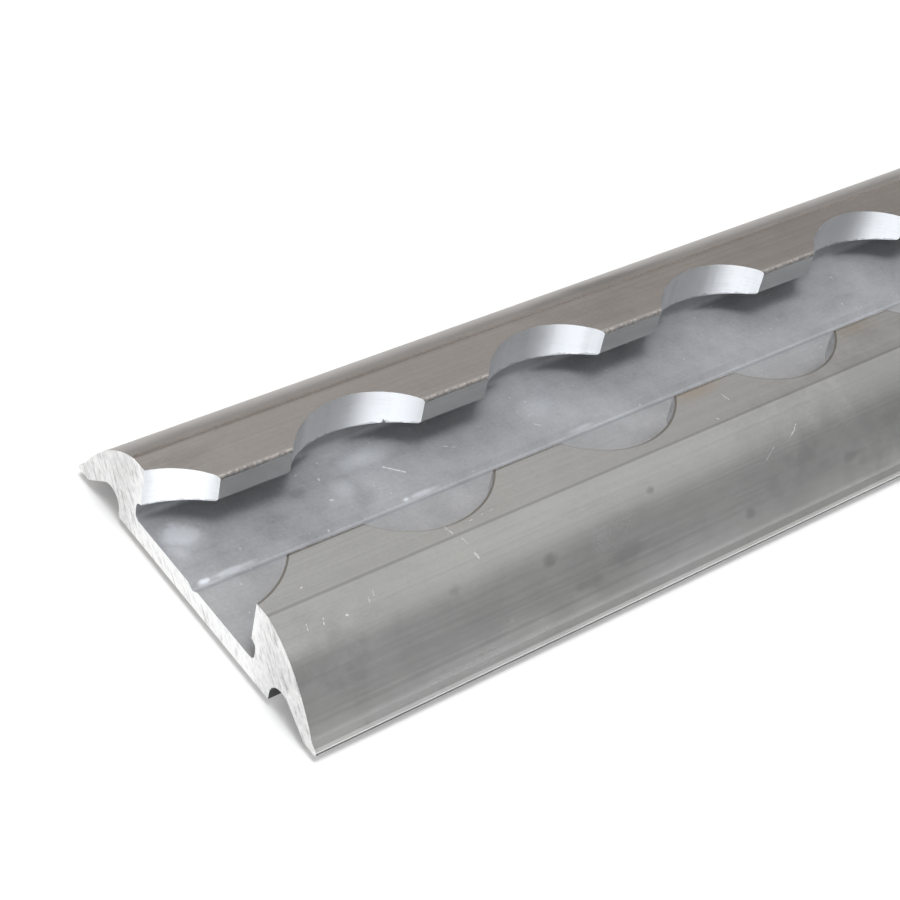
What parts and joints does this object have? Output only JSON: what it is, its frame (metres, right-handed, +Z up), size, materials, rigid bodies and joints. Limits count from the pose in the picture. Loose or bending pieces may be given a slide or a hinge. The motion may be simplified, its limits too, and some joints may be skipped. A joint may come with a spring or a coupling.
{
  "type": "lashing rail extrusion",
  "caption": "Low half-round aluminium lashing rail: slotted channel with round access holes milled through its lips, between two domed wings.",
  "frame": {"origin": "mid-length and mid-width, on the plane that the base and toes rest on", "axes": "+Y along the rail, away from the sawn end that the picture shows, +X across it, +Z up out of the slot"},
  "size_m": [0.0434, 0.5, 0.0097],
  "materials": {
    "aluminium": "mill finish, satin, with machined holes and bright sawn ends"
  },
  "bodies": {
    "root": {"track_rail": "aluminium"}
  },
  "joints": []
}
